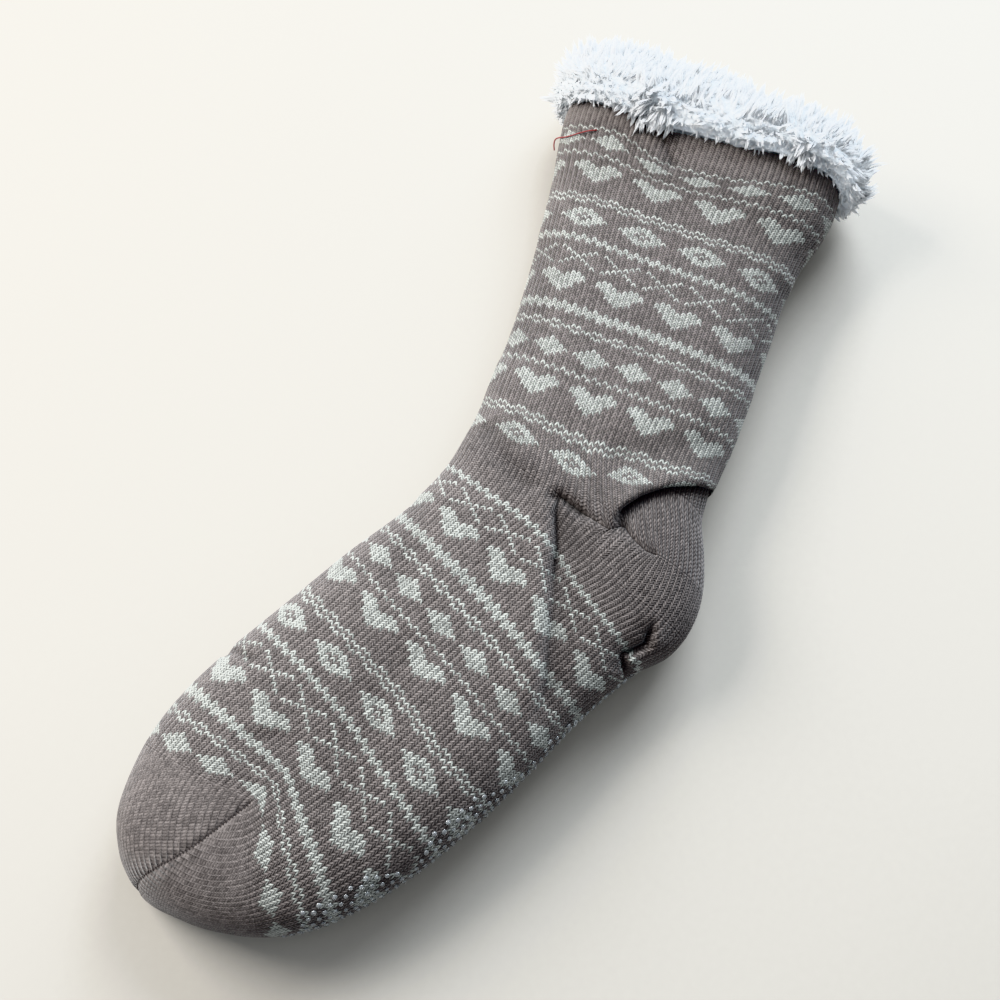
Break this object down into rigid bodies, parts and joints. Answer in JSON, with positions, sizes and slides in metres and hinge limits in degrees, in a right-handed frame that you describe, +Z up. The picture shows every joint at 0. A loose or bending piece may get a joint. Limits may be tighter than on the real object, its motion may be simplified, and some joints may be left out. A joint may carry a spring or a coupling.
{
  "type": "slipper sock",
  "caption": "Knitted slipper sock lying on its side, lined with fleece, with a turned-out roll of pile at its open end.",
  "frame": {"origin": "on the floor, under the middle of the sock's box, as it lies on its side", "axes": "+X from the toe to the open end, +Y towards the instep and shin edge, +Z up, through the sock's upper side"},
  "size_m": [0.4214, 0.1878, 0.0574],
  "materials": {
    "knit": "matte",
    "fleece_inside": "matte",
    "fleece_pile": "matte"
  },
  "bodies": {
    "root": {"knit_sock": "knit", "sherpa_lining": "fleece_inside", "sherpa_collar": "fleece_pile"}
  },
  "joints": []
}
